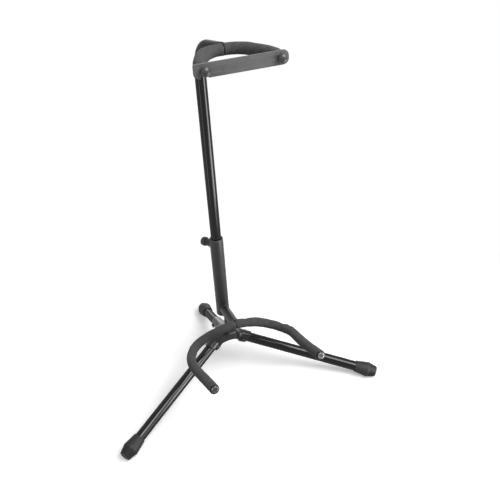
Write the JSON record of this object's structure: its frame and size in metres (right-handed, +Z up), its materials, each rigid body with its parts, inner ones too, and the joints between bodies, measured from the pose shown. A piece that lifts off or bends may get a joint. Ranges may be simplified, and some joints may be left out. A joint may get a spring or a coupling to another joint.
{
  "type": "guitar stand",
  "caption": "Folding tubular guitar stand: spread legs on a pressed hub, a padded fork for the body, a sliding mast and a padded yoke with a strap.",
  "frame": {"origin": "on the floor, at the middle of the outline seen from above", "axes": "+Z up, -Y is the front, where the fork and the yoke open; X runs across, from the left leg to the right leg"},
  "size_m": [0.5162, 0.381, 0.6832],
  "materials": {
    "gloss_black_paint": "gloss",
    "satin_black_paint": "satin",
    "zinc_plated_steel": "plated",
    "black_plastic": "moulded",
    "foam_rubber": "matt foam",
    "foot_rubber": "matt",
    "strap_rubber": "matt"
  },
  "bodies": {
    "base": {"hub_spider": "satin_black_paint", "hub_riser": "satin_black_paint", "stem_tube": "satin_black_paint", "lower_tube": "satin_black_paint", "mast_bushing": "black_plastic", "clamp_boss": "satin_black_paint", "fork_rod": "satin_black_paint", "fork_foam_left": "foam_rubber", "fork_foam_right": "foam_rubber", "fork_plug_left": "black_plastic", "fork_plug_right": "black_plastic", "leg_rivet_left": "satin_black_paint", "leg_rivet_right": "satin_black_paint", "leg_rivet_rear": "satin_black_paint"},
    "mast": {"upper_tube": "gloss_black_paint", "mast_end_plug": "black_plastic", "yoke_rod": "satin_black_paint", "yoke_foam_left": "foam_rubber", "yoke_foam_right": "foam_rubber", "strap_stud_left": "black_plastic", "strap_stud_right": "black_plastic", "strap_cap_left": "black_plastic", "strap_cap_right": "black_plastic"},
    "strap": {"safety_strap": "strap_rubber"},
    "clamp_bolt": {"clamp_bolt": "zinc_plated_steel"},
    "clamp_knob": {"clamp_knob": "black_plastic"},
    "leg_left": {"leg_tube_left": "gloss_black_paint", "foot_left": "foot_rubber"},
    "leg_right": {"leg_tube_right": "gloss_black_paint", "foot_right": "foot_rubber"},
    "leg_rear": {"leg_tube_rear": "gloss_black_paint", "foot_rear": "foot_rubber"}
  },
  "joints": [
    {"name": "leg_left_fold", "type": "hinge", "parent": "base", "child": "leg_left", "pos_m": [-0.03263, 0.01734, 0.06196], "axis": [0.5563, -0.831, 0], "range_deg": [0, 75]},
    {"name": "leg_right_fold", "type": "hinge", "parent": "base", "child": "leg_right", "pos_m": [0.03263, 0.01734, 0.06196], "axis": [0.5563, 0.831, 0], "range_deg": [0, 75]},
    {"name": "leg_rear_fold", "type": "hinge", "parent": "base", "child": "leg_rear", "pos_m": [0, 0.07615, 0.05432], "axis": [-1, 0, 0], "range_deg": [0, 62]},
    {"name": "mast_slide", "type": "slide", "parent": "base", "child": "mast", "axis": [0, 0.0872, 0.9962], "range_m": [-0.055, 0.072]},
    {"name": "clamp_travel", "type": "slide", "parent": "base", "child": "clamp_bolt", "axis": [-0.5736, 0.816, -0.0714], "range_m": [0, 0.002]},
    {"name": "clamp_turn", "type": "hinge", "parent": "clamp_bolt", "child": "clamp_knob", "pos_m": [0, 0.05478, 0.27241], "axis": [-0.5736, 0.816, -0.0714], "range_deg": [0, 720]},
    {"name": "strap_swing", "type": "hinge", "parent": "mast", "child": "strap", "pos_m": [0.05293, -0.10429, 0.67312], "axis": [0, 0.9962, -0.0872], "range_deg": [0, 160]}
  ],
  "couplings": [
    {"joint": "clamp_turn", "follows": "clamp_travel", "rad_per_m": 6283}
  ]
}
